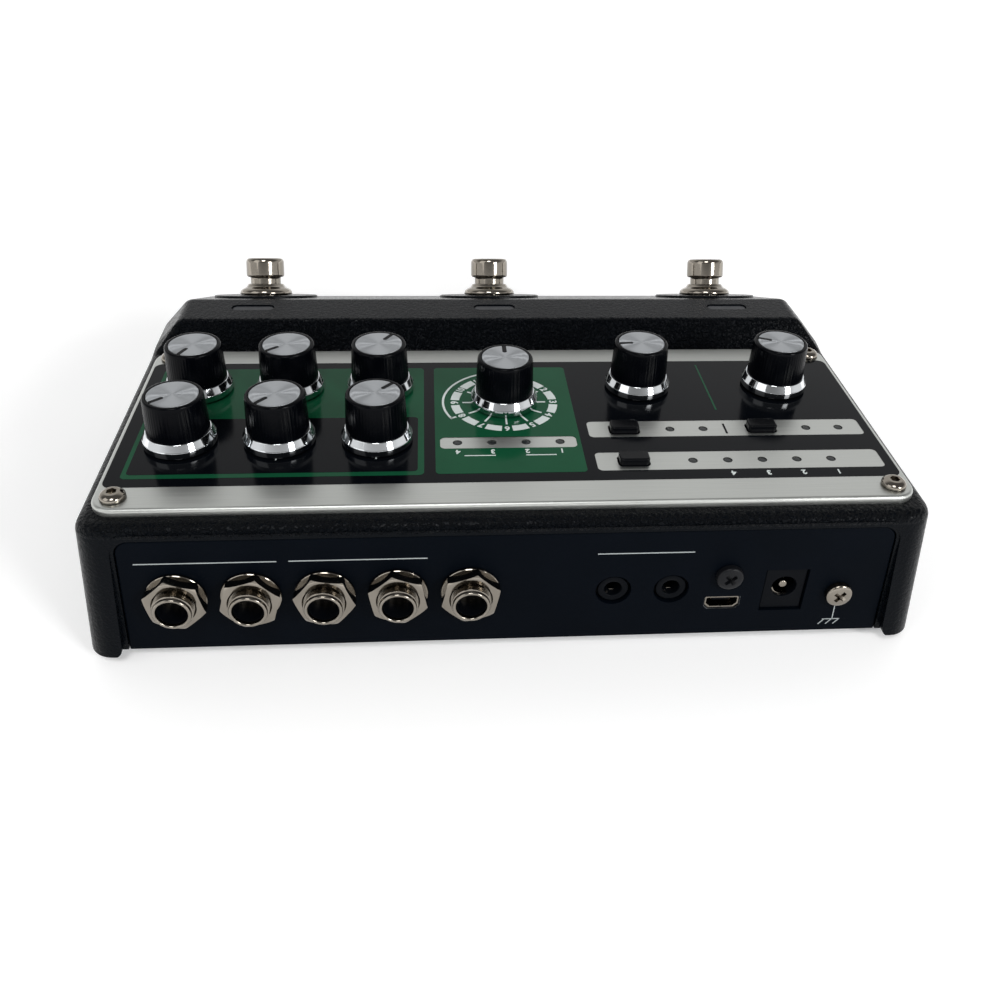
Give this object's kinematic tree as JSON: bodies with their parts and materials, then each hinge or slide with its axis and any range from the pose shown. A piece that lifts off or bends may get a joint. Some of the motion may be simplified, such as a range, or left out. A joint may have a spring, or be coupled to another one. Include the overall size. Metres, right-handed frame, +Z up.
{
  "type": "floor echo unit",
  "caption": "Low black floor effect unit with a sloped footswitch deck, a panel of ribbed knobs and small buttons, and a row of sockets at the rear.",
  "frame": {"origin": "under the middle of the whole object, on the surface that its feet stand on", "axes": "+X to the player's right, +Y from the footswitches to the rear sockets, +Z up"},
  "size_m": [0.192, 0.1366, 0.052],
  "materials": {
    "cast_black": "black textured powder coat on a die casting",
    "panel_face": "brushed, printed black and green",
    "sheet_black": "satin black powder coat on sheet steel",
    "cover_steel": "zinc plated",
    "board": "glass epoxy board",
    "lamp_grey": "clear grey moulding",
    "rubber": "matt",
    "nickel": "bright nickel plate",
    "black_plastic": "moulded",
    "black_screw": "blackened steel",
    "knob_black": "satin moulding",
    "spun_silver": "spun and lacquered"
  },
  "bodies": {
    "unit": {"case": "cast_black", "control_panel": "panel_face", "rear_panel": "sheet_black", "bottom_cover": "cover_steel", "control_board": "board", "socket_board": "board", "panel_light_guide": "lamp_grey", "hump_light_guide": "lamp_grey", "foot_rear_left": "rubber", "foot_rear_right": "rubber", "foot_front_left": "rubber", "foot_front_right": "rubber", "panel_screw_rear_left": "nickel", "panel_screw_rear_right": "nickel", "panel_screw_front_left": "nickel", "panel_screw_front_right": "nickel", "footswitch_left": "nickel", "footswitch_centre": "nickel", "footswitch_right": "nickel", "jack_1": "nickel", "jack_2": "nickel", "jack_3": "nickel", "jack_4": "nickel", "jack_5": "nickel", "jack_nut_1": "nickel", "jack_nut_2": "nickel", "jack_nut_3": "nickel", "jack_nut_4": "nickel", "jack_nut_5": "nickel", "mini_jack_1": "black_plastic", "mini_jack_2": "black_plastic", "data_socket": "cover_steel", "power_socket": "black_plastic", "bracket_screw": "black_screw", "ground_screw": "nickel"},
    "knob_rear_right_assembly": {"knob_rear_right": "knob_black", "knob_rear_right_cap": "spun_silver"},
    "knob_rear_middle_assembly": {"knob_rear_middle": "knob_black", "knob_rear_middle_cap": "spun_silver"},
    "knob_rear_inner_assembly": {"knob_rear_inner": "knob_black", "knob_rear_inner_cap": "spun_silver"},
    "knob_front_right_assembly": {"knob_front_right": "knob_black", "knob_front_right_cap": "spun_silver"},
    "knob_front_middle_assembly": {"knob_front_middle": "knob_black", "knob_front_middle_cap": "spun_silver"},
    "knob_front_inner_assembly": {"knob_front_inner": "knob_black", "knob_front_inner_cap": "spun_silver"},
    "knob_selector_assembly": {"knob_selector": "knob_black", "knob_selector_cap": "spun_silver"},
    "knob_left_inner_assembly": {"knob_left_inner": "knob_black", "knob_left_inner_cap": "spun_silver"},
    "knob_left_outer_assembly": {"knob_left_outer": "knob_black", "knob_left_outer_cap": "spun_silver"},
    "button_rear_key": {"button_rear": "black_plastic"},
    "button_front_inner_key": {"button_front_inner": "black_plastic"},
    "button_front_outer_key": {"button_front_outer": "black_plastic"},
    "footswitch_plunger_left": {"footswitch_button_left": "nickel"},
    "footswitch_plunger_centre": {"footswitch_button_centre": "nickel"},
    "footswitch_plunger_right": {"footswitch_button_right": "nickel"}
  },
  "joints": [
    {"name": "knob_rear_right_turn", "type": "hinge", "parent": "unit", "child": "knob_rear_right_assembly", "pos_m": [0.07605, 0.0323, 0.039], "axis": [0, 0, -1], "range_deg": [-200, 100]},
    {"name": "knob_rear_middle_turn", "type": "hinge", "parent": "unit", "child": "knob_rear_middle_assembly", "pos_m": [0.0535, 0.0323, 0.039], "axis": [0, 0, -1], "range_deg": [-191, 109]},
    {"name": "knob_rear_inner_turn", "type": "hinge", "parent": "unit", "child": "knob_rear_inner_assembly", "pos_m": [0.03095, 0.0323, 0.039], "axis": [0, 0, -1], "range_deg": [-12, 288]},
    {"name": "knob_front_right_turn", "type": "hinge", "parent": "unit", "child": "knob_front_right_assembly", "pos_m": [0.07605, 0.0082, 0.039], "axis": [0, 0, -1], "range_deg": [-175, 125]},
    {"name": "knob_front_middle_turn", "type": "hinge", "parent": "unit", "child": "knob_front_middle_assembly", "pos_m": [0.0535, 0.0082, 0.039], "axis": [0, 0, -1], "range_deg": [-201, 99]},
    {"name": "knob_front_inner_turn", "type": "hinge", "parent": "unit", "child": "knob_front_inner_assembly", "pos_m": [0.03095, 0.0082, 0.039], "axis": [0, 0, -1], "range_deg": [-3, 297]},
    {"name": "knob_selector_turn", "type": "hinge", "parent": "unit", "child": "knob_selector_assembly", "pos_m": [0, 0.0156, 0.039], "axis": [0, 0, -1], "range_deg": [-330, 0]},
    {"name": "knob_left_inner_turn", "type": "hinge", "parent": "unit", "child": "knob_left_inner_assembly", "pos_m": [-0.0351, 0.0082, 0.039], "axis": [0, 0, -1], "range_deg": [-235, 65]},
    {"name": "knob_left_outer_turn", "type": "hinge", "parent": "unit", "child": "knob_left_outer_assembly", "pos_m": [-0.0713, 0.0082, 0.039], "axis": [0, 0, -1], "range_deg": [-262, 38]},
    {"name": "button_rear_press", "type": "slide", "parent": "unit", "child": "button_rear_key", "axis": [0, 0, -1], "range_m": [0, 0.0005], "stiffness_N_per_m": 1500, "springref_m": -0.0002},
    {"name": "button_front_inner_press", "type": "slide", "parent": "unit", "child": "button_front_inner_key", "axis": [0, 0, -1], "range_m": [0, 0.0005], "stiffness_N_per_m": 1500, "springref_m": -0.0002},
    {"name": "button_front_outer_press", "type": "slide", "parent": "unit", "child": "button_front_outer_key", "axis": [0, 0, -1], "range_m": [0, 0.0005], "stiffness_N_per_m": 1500, "springref_m": -0.0002},
    {"name": "footswitch_left_press", "type": "slide", "parent": "unit", "child": "footswitch_plunger_left", "axis": [0, 0.3955, -0.9184], "range_m": [0, 0.0018], "stiffness_N_per_m": 1200, "springref_m": -0.0015},
    {"name": "footswitch_centre_press", "type": "slide", "parent": "unit", "child": "footswitch_plunger_centre", "axis": [0, 0.3955, -0.9184], "range_m": [0, 0.0018], "stiffness_N_per_m": 1200, "springref_m": -0.0015},
    {"name": "footswitch_right_press", "type": "slide", "parent": "unit", "child": "footswitch_plunger_right", "axis": [0, 0.3955, -0.9184], "range_m": [0, 0.0018], "stiffness_N_per_m": 1200, "springref_m": -0.0015}
  ]
}
